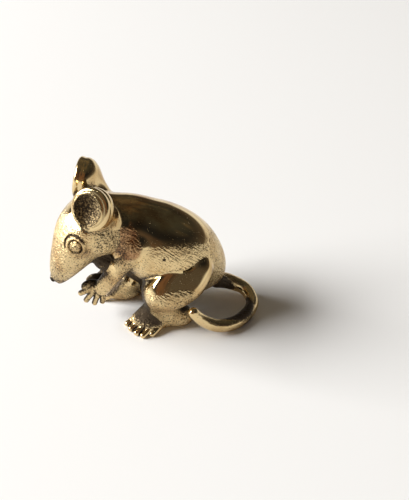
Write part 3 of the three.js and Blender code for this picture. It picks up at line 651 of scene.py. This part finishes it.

# %% [markdown]
# ## Tool marks
#
# The real skin isn't alike all over: fur is stippled on cheek, flank and rump, and the back is smooth.
# The lower flank is darker towards the belly, and the thighs towards the table. Spots paint shade under the
# rump, the belly and the jaw, and on the chest and the shin. On the shoulder they paint shade and a reddish
# reflection. That could be painted by hand. Here a table lists soft spots instead. Each row has a name, a
# centre, three radii and three strengths: how strongly the place is tooled, how much patina and painted
# shade it holds as if it lay in a hollow, and how coppery it is, which on the shoulder is a painted reddish
# reflection.

# %% Table of spots
# The hollow strength holds patina and painted shade, and the copper strength copper tone and a painted
# reddish reflection.
SPOT_STRENGTHS = ("tooled", "hollow", "copper_and_reflection")
SPOTS = {
    "body": (
        ("casting pit", (1.6, 6.7, 14.5), (0.26, 0.6, 0.26), 0.0, 0.9, 0.0),
        ("flank", (3.4, 6.6, 13.0), (8.8, 3.4, 3.5), 0.36, 0.13, 0.0),
        # Darker towards the belly.
        ("lower flank", (-0.5, 5.5, 9.6), (4.5, 3.5, 2.6), 0.45, 0.22, 0.0),
        ("rump", (11.8, 3.0, 9.5), (3.2, 6.5, 7.8), 0.45, 0.19, 0.1),
        # Painted shade under the rump and under the belly.
        ("under the rump", (10.5, 0.0, 3.0), (5.0, 7.5, 3.4), 0.5, 0.6, 0.0),
        ("belly", (0.0, 0.0, 6.0), (7.5, 5.0, 3.6), 0.6, 0.3, 0.0),
        ("back", (0.0, 0.0, 21.5), (9.0, 5.0, 3.2), 0.05, 0.1, 0.45),
        # Painted shade on the chest between the arms, besides tool marks.
        ("chest", (-6.0, 0.0, 12.0), (3.0, 3.5, 4.0), 0.6, 0.25, 0.0),
        # Painted reddish reflection and painted shade on the shoulder.
        ("shoulder", (-4.2, 4.6, 17.6), (2.3, 2.6, 2.6), 0.3, 0.26, 0.84),
    ),
    "head": (
        ("cheek", (-7.0, 4.4, 18.4), (3.4, 2.9, 3.4), 1.0, 0.14, 0.0),
        ("face", (-12.5, 0.0, 13.5), (7.0, 9.0, 7.0), 0.62, 0.28, 0.1),
        ("muzzle", (-14.8, 0.0, 9.8), (3.4, 4.0, 4.6), 0.65, 0.4, 0.35),
        # Painted shade under the jaw, besides tool marks.
        ("throat", (-8.2, 0.0, 12.0), (3.6, 4.5, 2.4), 0.5, 0.5, 0.0),
    ),
    "ear": (("root", (-8.3, 4.2, 21.2), (2.2, 2.4, 1.5), 0.9, 0.14, 0.0),),
    "foreleg": (
        ("arm", (-3.9, 4.8, 11.2), (1.9, 2.4, 7.0), 0.6, 0.31, 0.2),
        ("elbow", (-4.2, 4.6, 13.0), (1.8, 2.5, 4.5), 0.5, 0.26, 0.0),
        # Painted reddish reflection and painted shade on the shoulder.
        ("shoulder", (-3.6, 5.4, 16.6), (2.0, 2.4, 2.2), 0.3, 0.28, 0.84),
        ("forearm", (-7.0, 3.6, 9.0), (2.2, 2.0, 2.6), 0.5, 0.25, 0.1),
        ("palm", (-8.5, 0.5, 6.0), (4.0, 1.6, 4.0), 0.4, 0.35, 0.0),
        ("paw", (-9.8, 2.4, 6.0), (2.8, 1.6, 2.8), 0.5, 0.26, 0.1),
    ),
    "hind_leg": (
        ("hock", (2.6, 6.4, 3.2), (4.0, 3.0, 2.4), 0.7, 0.08, 0.0),
        ("knee", (0.0, 5.5, 6.5), (2.2, 3.0, 3.5), 0.35, 0.22, 0.4),
        # The shin's front is painted shade where it faces in under the belly. The thigh's underside and lower
        # edge are darker towards the table. The inner side holds patina and painted shade.
        ("shin", (-2.0, 4.4, 5.2), (1.7, 3.2, 4.0), 0.4, 0.6, 0.2),
        ("under side", (9.0, 5.0, 4.0), (3.0, 4.5, 2.4), 0.5, 0.55, 0.0),
        ("lower thigh", (2.8, 8.0, 7.0), (4.5, 1.8, 2.2), 0.55, 0.23, 0.15),
        ("inner side", (1.0, 2.2, 5.0), (5.0, 2.2, 4.5), 0.5, 0.45, 0.0),
    ),
    "hind_foot": (
        ("instep", (-0.8, 5.0, 2.6), (2.8, 2.8, 2.2), 0.5, 0.5, 0.0),
        ("heel", (4.2, 5.2, 1.8), (2.6, 2.2, 2.2), 0.7, 0.15, 0.0),
    ),
    "right_hind_foot": (("instep", (-0.8, 5.0, 2.2), (4.0, 3.0, 2.4), 0.4, 0.16, 0.0),),
}
SPOT_EDGE = 1.25
SPOT_FADE = 0.4


def spots(points, name, kind):
    """The strongest of a node's soft spots at each point: full inside a spot and fading out at its edge."""
    column = SPOT_STRENGTHS.index(kind)
    pair = paired(own_points(name, points))
    strongest = np.zeros(len(points))
    for _, centre, radii, *strengths in SPOTS.get(name, SPOTS.get(kind_of(name))):
        reach = np.linalg.norm((pair - centre) / radii, axis=1)
        inside = np.clip((SPOT_EDGE - reach) / SPOT_FADE, 0, 1)
        strongest = np.maximum(strongest, strengths[column] * inside)
    return strongest


print("spots:", {node: [spot[0] for spot in rows] for node, rows in SPOTS.items()})

# %% [markdown]
# Every surface of the lesson, whether it comes from the field or from a grid, goes into Blender in the
# same way: whole arrays are handed over at once. The object stays at the origin with its place in its
# mesh. A strength is kept as one number per vertex, which the brass reads later. Each piece rides on the
# figurine, which has no moving part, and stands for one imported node.

# %% Arrays into Blender
def put_mesh(name, points, *face_groups):
    """A mesh object from points in millimetres and groups of faces, each with one count of corners."""
    corners = np.concatenate([faces.ravel() for faces in face_groups])
    counts = np.concatenate([np.full(len(faces), faces.shape[1]) for faces in face_groups])
    mesh = bpy.data.meshes.new(name)
    mesh.vertices.add(len(points))
    mesh.vertices.foreach_set("co", ((points + MODEL_ORIGIN) * MM).ravel())
    mesh.loops.add(len(corners))
    mesh.loops.foreach_set("vertex_index", corners)
    mesh.polygons.add(len(counts))
    mesh.polygons.foreach_set("loop_start", np.cumsum(counts) - counts)
    mesh.update(calc_edges=True)
    mesh.shade_smooth()
    piece = bpy.data.objects.new(name, mesh)
    bpy.context.collection.objects.link(piece)
    return piece


def keep_attribute(piece, name, values):
    """One number per vertex, kept on the mesh for a material to read."""
    attribute = piece.data.attributes.new(name, "FLOAT", "POINT")
    attribute.data.foreach_set("value", values.astype(np.float32))


def finish_piece(piece, node):
    """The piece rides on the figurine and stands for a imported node."""
    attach(piece, "root")
    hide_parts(node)
    print(node, len(piece.data.vertices), "points")
    return piece


print("mesh tools ready")

# %% [markdown]
# Patina lies where polishing can't reach. A point's depth in a hollow comes from the field itself: one
# step out along the normal the skin should be one step away, and in a crease it is nearer. A few steps of
# different length find both fine creases and wide ones. The cups of the ears are wider than that, so they
# get their dark by how near the scooped surface is.

# %% Build the cast pieces
HOLLOW_STEPS = (0.4, 0.9, 1.8, 3.6)
EAR_REACH = 0.4
EAR_FADE = 0.25
EAR_HOLLOW = 0.48
EAR_TOOLED = 0.7
SAMPLE_MARGIN = 3.6
OUTER_BAND = 0.3


def hollowness(points, normals):
    """How deep points lie in a hollow: the mean share by which the skin is nearer than a step is long."""
    hollow = np.zeros(len(points))
    for step in HOLLOW_STEPS:
        out = points + step * normals
        hollow += np.clip(1 - pressed(lumps(out), out) / step, 0, 1) / len(HOLLOW_STEPS)
    return hollow


def inside_ear(name, points):
    """1 on the scooped surface of an ear, fading to 0 away from it."""
    facing = LEFT_EAR_FACING if name == "left_ear" else RIGHT_EAR_FACING
    distance = np.abs(scoop(own_points(name, points), facing))
    return np.clip((EAR_REACH - distance) / EAR_FADE, 0, 1)


def cast_piece(name):
    """The share of the skin that is nearest to a node's lump, closed where it meets its neighbours."""
    index = list(SMOOTHING).index(name)
    low, high = boxes[name]
    points, quads = quads_of(lambda at: np.maximum(*skin_and_share(at, index)),
                             low - SAMPLE_MARGIN, high + SAMPLE_MARGIN)
    points = slide(points, index)
    points[:, 2] = np.maximum(points[:, 2], 0)
    values, grades = slopes(lambda at: skin_and_share(at, index), points)
    outer = values[0] > -OUTER_BAND * FINE_STEP
    normals = np.where(outer[:, None], grades[0], grades[1])
    normals /= np.linalg.norm(normals, axis=1, keepdims=True)
    strengths = {kind: spots(points, name, kind) for kind in SPOT_STRENGTHS}
    strengths["hollow"] += hollowness(points, normals)
    if kind_of(name) == "ear":
        scooped = inside_ear(name, points)
        strengths["hollow"] = np.maximum(strengths["hollow"], EAR_HOLLOW * scooped)
        strengths["tooled"] = np.maximum(strengths["tooled"], EAR_TOOLED * scooped)
    strengths["hollow"] *= outer
    piece = put_mesh(name, points, quads)
    piece.data.normals_split_custom_set_from_vertices(normals)
    for kind, strength in strengths.items():
        keep_attribute(piece, kind, strength)
    return finish_piece(piece, name)


cast = {name: cast_piece(name) for name in SMOOTHING}

# %% [markdown]
# ## Tail and eyes
#
# The tail is a plain tapering rod with nothing pressed into it, and an eye is a low bead, so neither
# needs a field. Both are surfaces of two parameters: how far along, and how far round. One helper turns
# such a grid of rings into a closed skin.

# %% Skin over rings
def loft(rings):
    """Points, quads and end triangles of a closed skin over rings of equal count, whose first and last ring
    are single points. Rings run counter-clockwise as seen from the far end."""
    count, sides = rings.shape[:2]
    index = np.arange(count * sides).reshape(count, sides)[1:-1] - sides + 1
    last = (count - 2) * sides + 1
    turned = np.roll(index, -1, axis=1)
    quads = np.stack([index[:-1], turned[:-1], turned[1:], index[1:]], axis=2).reshape(-1, 4)
    start = np.stack([np.zeros(sides, int), turned[0], index[0]], axis=1)
    end = np.stack([index[-1], turned[-1], np.full(sides, last)], axis=1)
    points = np.concatenate([rings[0, :1], rings[1:-1].reshape(-1, 3), rings[-1, :1]])
    return points, quads, np.concatenate([start, end])


def circles(angle, across, above):
    """Unit circles: the cosine of the angle along one direction and its sine along the other."""
    return np.cos(angle)[:, None] * across[..., None, :] + np.sin(angle)[:, None] * above[..., None, :]


print("ring tools ready")

# %% [markdown]
# The tail leaves the rump, comes down to the table, curls round on it and ends with its tip raised beside
# the left thigh. A circle is carried along a smooth route through a few stops, and what would sink into
# the table is pressed flat. The side of the tail that faces into the loop is painted darker, as painted
# shade.

# %% Tail
RUMP_X = 12.2
# X from the rump, Y, Z and the radius
TAIL_ROUTE = np.array([
    (-2.0, 0.0, 4.8, 1.5), (1.6, 1.0, 3.0, 1.35), (4.2, 0.3, 1.6, 1.15), (4.9, -2.4, 1.0, 1.05),
    (3.2, -5.8, 1.0, 1.1), (0.2, -8.1, 1.15, 1.15), (-2.5, -9.0, 1.9, 1.1), (-4.9, -9.2, 3.5, 1.0),
    (-7.0, -9.1, 6.0, 0.85),
])
TAIL_RINGS = 220
TAIL_SIDES = 48
LOOP_CENTRE = np.array([12.3, -4.2])
LOOP_RADII = np.array([4.8, 4.6])
LOOP_FADE = 0.12
# Hollow strength outside the loop and on the side that faces into it, where it is painted shade.
TAIL_HOLLOW_AND_SHADE = (0.2, 0.7)
TAIL_TOOLED = (0.15, 0.45)


def tail_rings():
    """A circle carried along the cubic route, its radius running with it, with round ends and a flat
    underside."""
    stops = TAIL_ROUTE + (RUMP_X, 0, 0, 0)
    reach = np.concatenate([[0], np.cumsum(np.linalg.norm(np.diff(stops[:, :3], axis=0), axis=1))])
    along = reach[-1] * np.linspace(0, 1, TAIL_RINGS)
    centre = np.stack([through(reach, stops[:, k], along) for k in range(3)], axis=1)
    radius = through(reach, stops[:, 3], along)
    from_end = np.minimum(along, reach[-1] - along)
    radius *= np.sqrt(np.clip(1 - (1 - np.minimum(from_end / radius, 1)) ** 2, 0, 1))
    ahead = np.gradient(centre, axis=0)
    ahead /= np.linalg.norm(ahead, axis=1, keepdims=True)
    across = np.cross(UP, ahead)
    across /= np.linalg.norm(across, axis=1, keepdims=True)
    angle = np.linspace(0, 2 * np.pi, TAIL_SIDES, endpoint=False)
    rings = centre[:, None] + radius[:, None, None] * circles(angle, across, np.cross(ahead, across))
    rings[:, :, 2] = np.maximum(rings[:, :, 2], 0)
    return rings


tail_points, *tail_faces = loft(tail_rings())
cast["tail"] = finish_piece(put_mesh("tail", tail_points, *tail_faces), "tail")
# Painted shade: the side of the tail that faces into the loop is darker.
from_loop = np.linalg.norm((tail_points[:, :2] - LOOP_CENTRE) / LOOP_RADII, axis=1)
shaded_loop_side = np.clip((1 - from_loop) / LOOP_FADE, 0, 1)
keep_attribute(cast["tail"], "hollow", np.interp(shaded_loop_side, (0, 1), TAIL_HOLLOW_AND_SHADE))
keep_attribute(cast["tail"], "tooled", np.interp(shaded_loop_side, (0, 1), TAIL_TOOLED))

# %% [markdown]
# The bead's profile starts at its middle, comes down over a low dome with a fine ring cut in it, and goes
# back into the socket, where it closes to a point. It is turned round the way the eye faces, and the bead
# of the left eye is the mirrored one, with its rings run the other way so that its faces still point
# outwards.

# %% Eyes
# Radius and height
EYE_PROFILE = np.array([
    (0.0, 0.42), (0.2, 0.41), (0.4, 0.37), (0.5, 0.31), (0.56, 0.26), (0.62, 0.31),
    (0.72, 0.3), (0.85, 0.2), (0.95, 0.02), (0.95, -0.3), (0.5, -0.5), (0.0, -0.5),
])
EYE_SIDES = 48
EYE_STRENGTHS = {"tooled": 0.9, "hollow": 0.3}


def eye_rings(side):
    """The profile turned round the way the eye faces, then turned with the head."""
    _, across, above = axes_along(EYE_FACING).T
    circle = circles(-np.linspace(0, 2 * np.pi, EYE_SIDES, endpoint=False), across, above)
    radius, height = EYE_PROFILE.T[:, :, None, None]
    rings = (EYE_CENTRE + height * EYE_FACING + radius * circle) * (1, side, 1)
    rings = rings[:, ::-1] if side < 0 else rings
    return about_neck(rings, HEAD_TURN)


for name, side in (("left_eye", -1), ("right_eye", 1)):
    eye_points, *eye_faces = loft(eye_rings(side))
    cast[name] = finish_piece(put_mesh(name, eye_points, *eye_faces), name)
    for kind, strength in EYE_STRENGTHS.items():
        keep_attribute(cast[name], kind, np.full(len(eye_points), strength))

# %% [markdown]
# ## Brass
#
# Shader sums are easier to read as Python than as noodles. A Flow wraps one socket, and each operator on
# it adds a Math node.

# %% Shader sums
class Flow:
    """One output socket of a node tree, with sums written as Python expressions."""

    def __init__(self, tree, socket):
        self.tree = tree
        self.socket = socket

    def node(self, kind, settings, inputs, output=0):
        """Adds a node of a kind, with its settings set first, then the values or links of its sockets."""
        made = self.tree.nodes.new(kind)
        for name, value in settings.items():
            setattr(made, name, value)
        for name, value in inputs.items():
            if isinstance(value, Flow):
                self.tree.links.new(value.socket, made.inputs[name])
            else:
                made.inputs[name].default_value = value
        return Flow(self.tree, made.outputs[output])

    def maths(self, operation, first, second):
        """Adds a Math node on two values or links."""
        return self.node("ShaderNodeMath", {"operation": operation}, {0: first, 1: second})

    def __add__(self, other):
        return self.maths("ADD", self, other)

    def __radd__(self, other):
        return self.maths("ADD", other, self)

    def __sub__(self, other):
        return self.maths("SUBTRACT", self, other)

    def __rsub__(self, other):
        return self.maths("SUBTRACT", other, self)

    def __mul__(self, other):
        return self.maths("MULTIPLY", self, other)

    def __rmul__(self, other):
        return self.maths("MULTIPLY", other, self)

    def swing(self, size):
        """A noise around one half, moved and scaled to swing by half of size to either side of 0."""
        return size * (self - 0.5)

    def between(self, low, high):
        """0 below low, 1 above high and a smooth step between them."""
        return self.node("ShaderNodeMapRange", {"interpolation_type": "SMOOTHSTEP"},
                         {"Value": self, "From Min": low, "From Max": high})

    def along(self, direction):
        """How far this vector goes along a fixed direction: their dot product."""
        return self.node("ShaderNodeVectorMath", {"operation": "DOT_PRODUCT"},
                         {0: self, 1: direction}, "Value")

    def colours(self, first, second):
        """The first colour where this is 0 and the second where it is 1, on the Mix node's colour sockets."""
        return self.node("ShaderNodeMix", {"data_type": "RGBA"}, {0: self, 6: first, 7: second}, 2)


def new_material(name):
    """A material with an empty node tree, its surface socket and a first Flow to draw nodes from."""
    material = bpy.data.materials.new(name)
    material.use_nodes = True
    tree = material.node_tree
    tree.nodes.clear()
    output = tree.nodes.new("ShaderNodeOutputMaterial")
    return material, output.inputs["Surface"], Flow(tree, None)


print("shader sums ready")

# %% [markdown]
# The real brass is polished on the back, the thighs and the rims, and tooled and tarnished elsewhere.
# Four colours are mixed: clean brass, brass gone warm in wide clouds, copper where the spots say so, which
# on the shoulder is a painted reddish reflection, and a brown that is patina in hollows and pits and painted
# shade where the spots and the tail's inner side put shade. Fine noise breaks up every edge, because dirt
# never ends in a clean line. The strokes of the fur tool are a noise that is stretched along the slope of the
# flank. Marks, patina and painted shade are rough, and the marks are also given some height. The three
# finishes of the record differ only in polish and in how early the patina and painted shade set in.

# %% Brass
CLEAN_BRASS = (0.72, 0.55, 0.29, 1.0)
WARM_BRASS = (0.52, 0.34, 0.15, 1.0)
# Copper tone, and on the shoulder a painted reddish reflection.
COPPER_AND_REFLECTION = (0.28, 0.12, 0.048, 1.0)
# The brown is patina in hollows and pits, and painted shade where the spots and the tail put shade.
PATINA_AND_SHADE = (0.075, 0.055, 0.036, 1.0)
PATINA_AND_SHADE_FADE = 0.3
PIT_PATINA = 0.85
PIT_DEPTH = 0.1
TARNISH_ROUGHNESS = 0.04
MARK_ROUGHNESS = 0.26
PATINA_AND_SHADE_ROUGHNESS = 0.2
# Where each of these fades in, from none to full
STROKES_FROM = (0.02, 0.3)
PITS_FROM = (0.72, 0.77)
TARNISH_FROM = (0.4, 0.75)
COPPER_AND_REFLECTION_FROM = (0.2, 1.0)
ROUGH_FROM = (0.0, 0.7)
HEIGHT_FROM = (0.05, 1.0)
# Noise cells per metre
CLOUDS = 260.0
GRAINS = 2600.0
SPECKS = 4200.0
STROKES = 3400.0
STROKE_SLANT = (0.0, 0.7, 0.0)
STROKE_STRETCH = (4.0, 1.0, 1.0)
BUMP_STRENGTH = 0.8
BUMP_DISTANCE = 0.0005
# Roughness of the clean metal, and the hollow and shade strength from which patina and painted shade set in
FINISHES = {"polished_brass": (0.08, 0.28), "worn_brass": (0.12, 0.26), "darkened_brass": (0.14, 0.26)}


def brass(name, polish, patina_and_shade_from):
    """Brass with cloudy tarnish, copper spots and a painted reddish reflection, tool marks, casting pits,
    patina and painted shade. Pits are the highest specks, and patina and painted shade lie where hollow
    and shade strength, specks and clouds together are over a limit, or in a pit."""
    material, surface, flow = new_material(name)

    def attribute(kind):
        """The strength of a kind that the mesh keeps at each vertex."""
        return flow.node("ShaderNodeAttribute", {"attribute_name": kind}, {}, "Fac")

    def noise(where, scale, detail):
        """A noise of so many cells per metre, with so many finer layers."""
        return flow.node("ShaderNodeTexNoise", {}, {"Vector": where, "Scale": scale, "Detail": detail})

    place = flow.node("ShaderNodeTexCoord", {}, {}, "Object")
    hair = flow.node("ShaderNodeMapping", {"vector_type": "TEXTURE"}, {
        "Vector": place, "Rotation": STROKE_SLANT, "Scale": STROKE_STRETCH})
    hollow, tooled, copper_and_reflection = attribute("hollow"), attribute("tooled"), attribute("copper_and_reflection")
    cloud, grain = noise(place, CLOUDS, 5.0), noise(place, GRAINS, 3.0)
    speck, stroke = noise(place, SPECKS, 2.0), noise(hair, STROKES, 2.0)

    marks = tooled + stroke.swing(0.9) * tooled.between(*STROKES_FROM)
    pits = (speck + 0.2 * marks).between(*PITS_FROM)
    # Patina in hollows and pits, and painted shade where the spots and the tail's inner side put it.
    patina_and_shade_mask = (hollow + speck.swing(0.8) + cloud.swing(0.4)).between(patina_and_shade_from, patina_and_shade_from + PATINA_AND_SHADE_FADE)
    dark = 1.0 - (1.0 - patina_and_shade_mask) * (1.0 - PIT_PATINA * pits)
    tarnish = cloud.between(*TARNISH_FROM)
    bare = tarnish.colours(CLEAN_BRASS, WARM_BRASS)
    # Copper tone where the spots say so, which on the shoulder is a painted reddish reflection.
    shine = (copper_and_reflection + cloud.swing(0.9) + speck.swing(0.5)).between(*COPPER_AND_REFLECTION_FROM).colours(bare, COPPER_AND_REFLECTION)
    roughness = polish + TARNISH_ROUGHNESS * tarnish
    roughness = roughness + MARK_ROUGHNESS * marks.between(*ROUGH_FROM) + PATINA_AND_SHADE_ROUGHNESS * dark
    height = marks.between(*HEIGHT_FROM) * grain - PIT_DEPTH * pits
    bump = flow.node("ShaderNodeBump", {}, {
        "Strength": BUMP_STRENGTH, "Distance": BUMP_DISTANCE, "Height": height})
    shader = flow.node("ShaderNodeBsdfPrincipled", {}, {
        "Base Color": dark.colours(shine, PATINA_AND_SHADE), "Metallic": 1.0, "Roughness": roughness, "Normal": bump})
    flow.tree.links.new(shader.socket, surface)
    return material


finishes = {name: brass(name, *values) for name, values in FINISHES.items()}
slots = {part["node"]: part["material_slot"] for part in frame["record"]["subparts"]}
for node, piece in cast.items():
    piece.data.materials.append(finishes[slots[node]])
print("finishes:", {node: slots[node] for node in cast})

# %% [markdown]
# ## Table, window and room
#
# Polished metal looks like what surrounds it, so the surroundings count as much as the brass. The table
# is a plain pale sheet. It is part of the stage, not of the object.

# %% Table
TABLE_HALF = 400
TABLE_COLOUR = (0.93, 0.925, 0.91, 1)
TABLE_ROUGHNESS = 0.7

table_points = np.array([(-1, -1, 0), (1, -1, 0), (1, 1, 0), (-1, 1, 0)], float) * TABLE_HALF - MODEL_ORIGIN
table = put_mesh("table", table_points, np.array([[0, 1, 2, 3]]))
pale, surface, flow = new_material("pale_table")
sheet = flow.node("ShaderNodeBsdfPrincipled", {}, {
    "Base Color": TABLE_COLOUR, "Roughness": TABLE_ROUGHNESS})
flow.tree.links.new(sheet.socket, surface)
table.data.materials.append(pale)
print("table side in mm:", 2 * TABLE_HALF)

# %% [markdown]
# A window to the left of the picture and a little behind the animal gives the soft light: the shadow
# falls to the right, and its edge is wide. A large area light stands for it, turned towards the origin.

# %% Window
WINDOW_AT = (-1.33, 0.24, 0.78)
WINDOW_SIDES = (1.06, 0.78)
WINDOW_ENERGY = 51

window_data = bpy.data.lights.new("window", "AREA")
window_data.shape = "RECTANGLE"
window_data.size, window_data.size_y = WINDOW_SIDES
window_data.energy = WINDOW_ENERGY
window = bpy.data.objects.new("window", window_data)
window.location = WINDOW_AT
window.rotation_euler = Vector(WINDOW_AT).to_track_quat("Z", "Y").to_euler()
bpy.context.collection.objects.link(window)
print("window energy:", window_data.energy)

# %% [markdown]
# The room is what the metal mirrors. A low pale backdrop goes all round, as bright as the table. Above it
# the room is dim: a darkening wall, a ceiling that is lighter in patches, and one warm patch on the
# camera's side, which gives the thigh and the back their brown gleam.

# %% Room
BACKDROP_TOP = math.sin(math.radians(5))
ROOM_FROM = math.sin(math.radians(11))
WALL_TOP = math.sin(math.radians(32))
CEILING_AT = (0.1, 0.2, 0.97)
CEILING_EDGE = (0.45, 0.8)
WARM_AT = (-0.376, -0.82, 0.43)
WARM_EDGE = (0.80, 1.0)
PATCHES = 2.2
PATCH_EDGE = (0.42, 0.62)
BACKDROP = (0.97, 0.97, 0.96, 1)
LOW_WALL = (0.10, 0.085, 0.07, 1)
HIGH_WALL = (0.018, 0.018, 0.020, 1)
DARK_CEILING = (0.060, 0.060, 0.050, 1)
LIGHT_CEILING = (0.16, 0.13, 0.085, 1)
WARM_PATCH = (0.20, 0.11, 0.065, 1)

world = bpy.data.worlds.new("room")
world.use_nodes = True
world.node_tree.nodes.clear()
flow = Flow(world.node_tree, None)
direction = flow.node("ShaderNodeTexCoord", {}, {}, "Generated")
height = flow.node("ShaderNodeSeparateXYZ", {}, {0: direction}, "Z")
patch = flow.node("ShaderNodeTexNoise", {}, {"Vector": direction, "Scale": PATCHES, "Detail": 2.0})
wall = height.between(ROOM_FROM, WALL_TOP).colours(LOW_WALL, HIGH_WALL)
ceiling = patch.between(*PATCH_EDGE).colours(DARK_CEILING, LIGHT_CEILING)
room = direction.along(CEILING_AT).between(*CEILING_EDGE).colours(wall, ceiling)
room = (direction.along(WARM_AT) + patch.swing(0.5)).between(*WARM_EDGE).colours(room, WARM_PATCH)
room = height.between(BACKDROP_TOP, ROOM_FROM).colours(BACKDROP, room)
glow = flow.node("ShaderNodeBackground", {}, {"Color": room, "Strength": 1.0})
output = world.node_tree.nodes.new("ShaderNodeOutputWorld")
world.node_tree.links.new(glow.socket, output.inputs["Surface"])
bpy.context.scene.world = world
bpy.context.scene.view_settings.view_transform = "Standard"
print("room nodes:", len(world.node_tree.nodes))
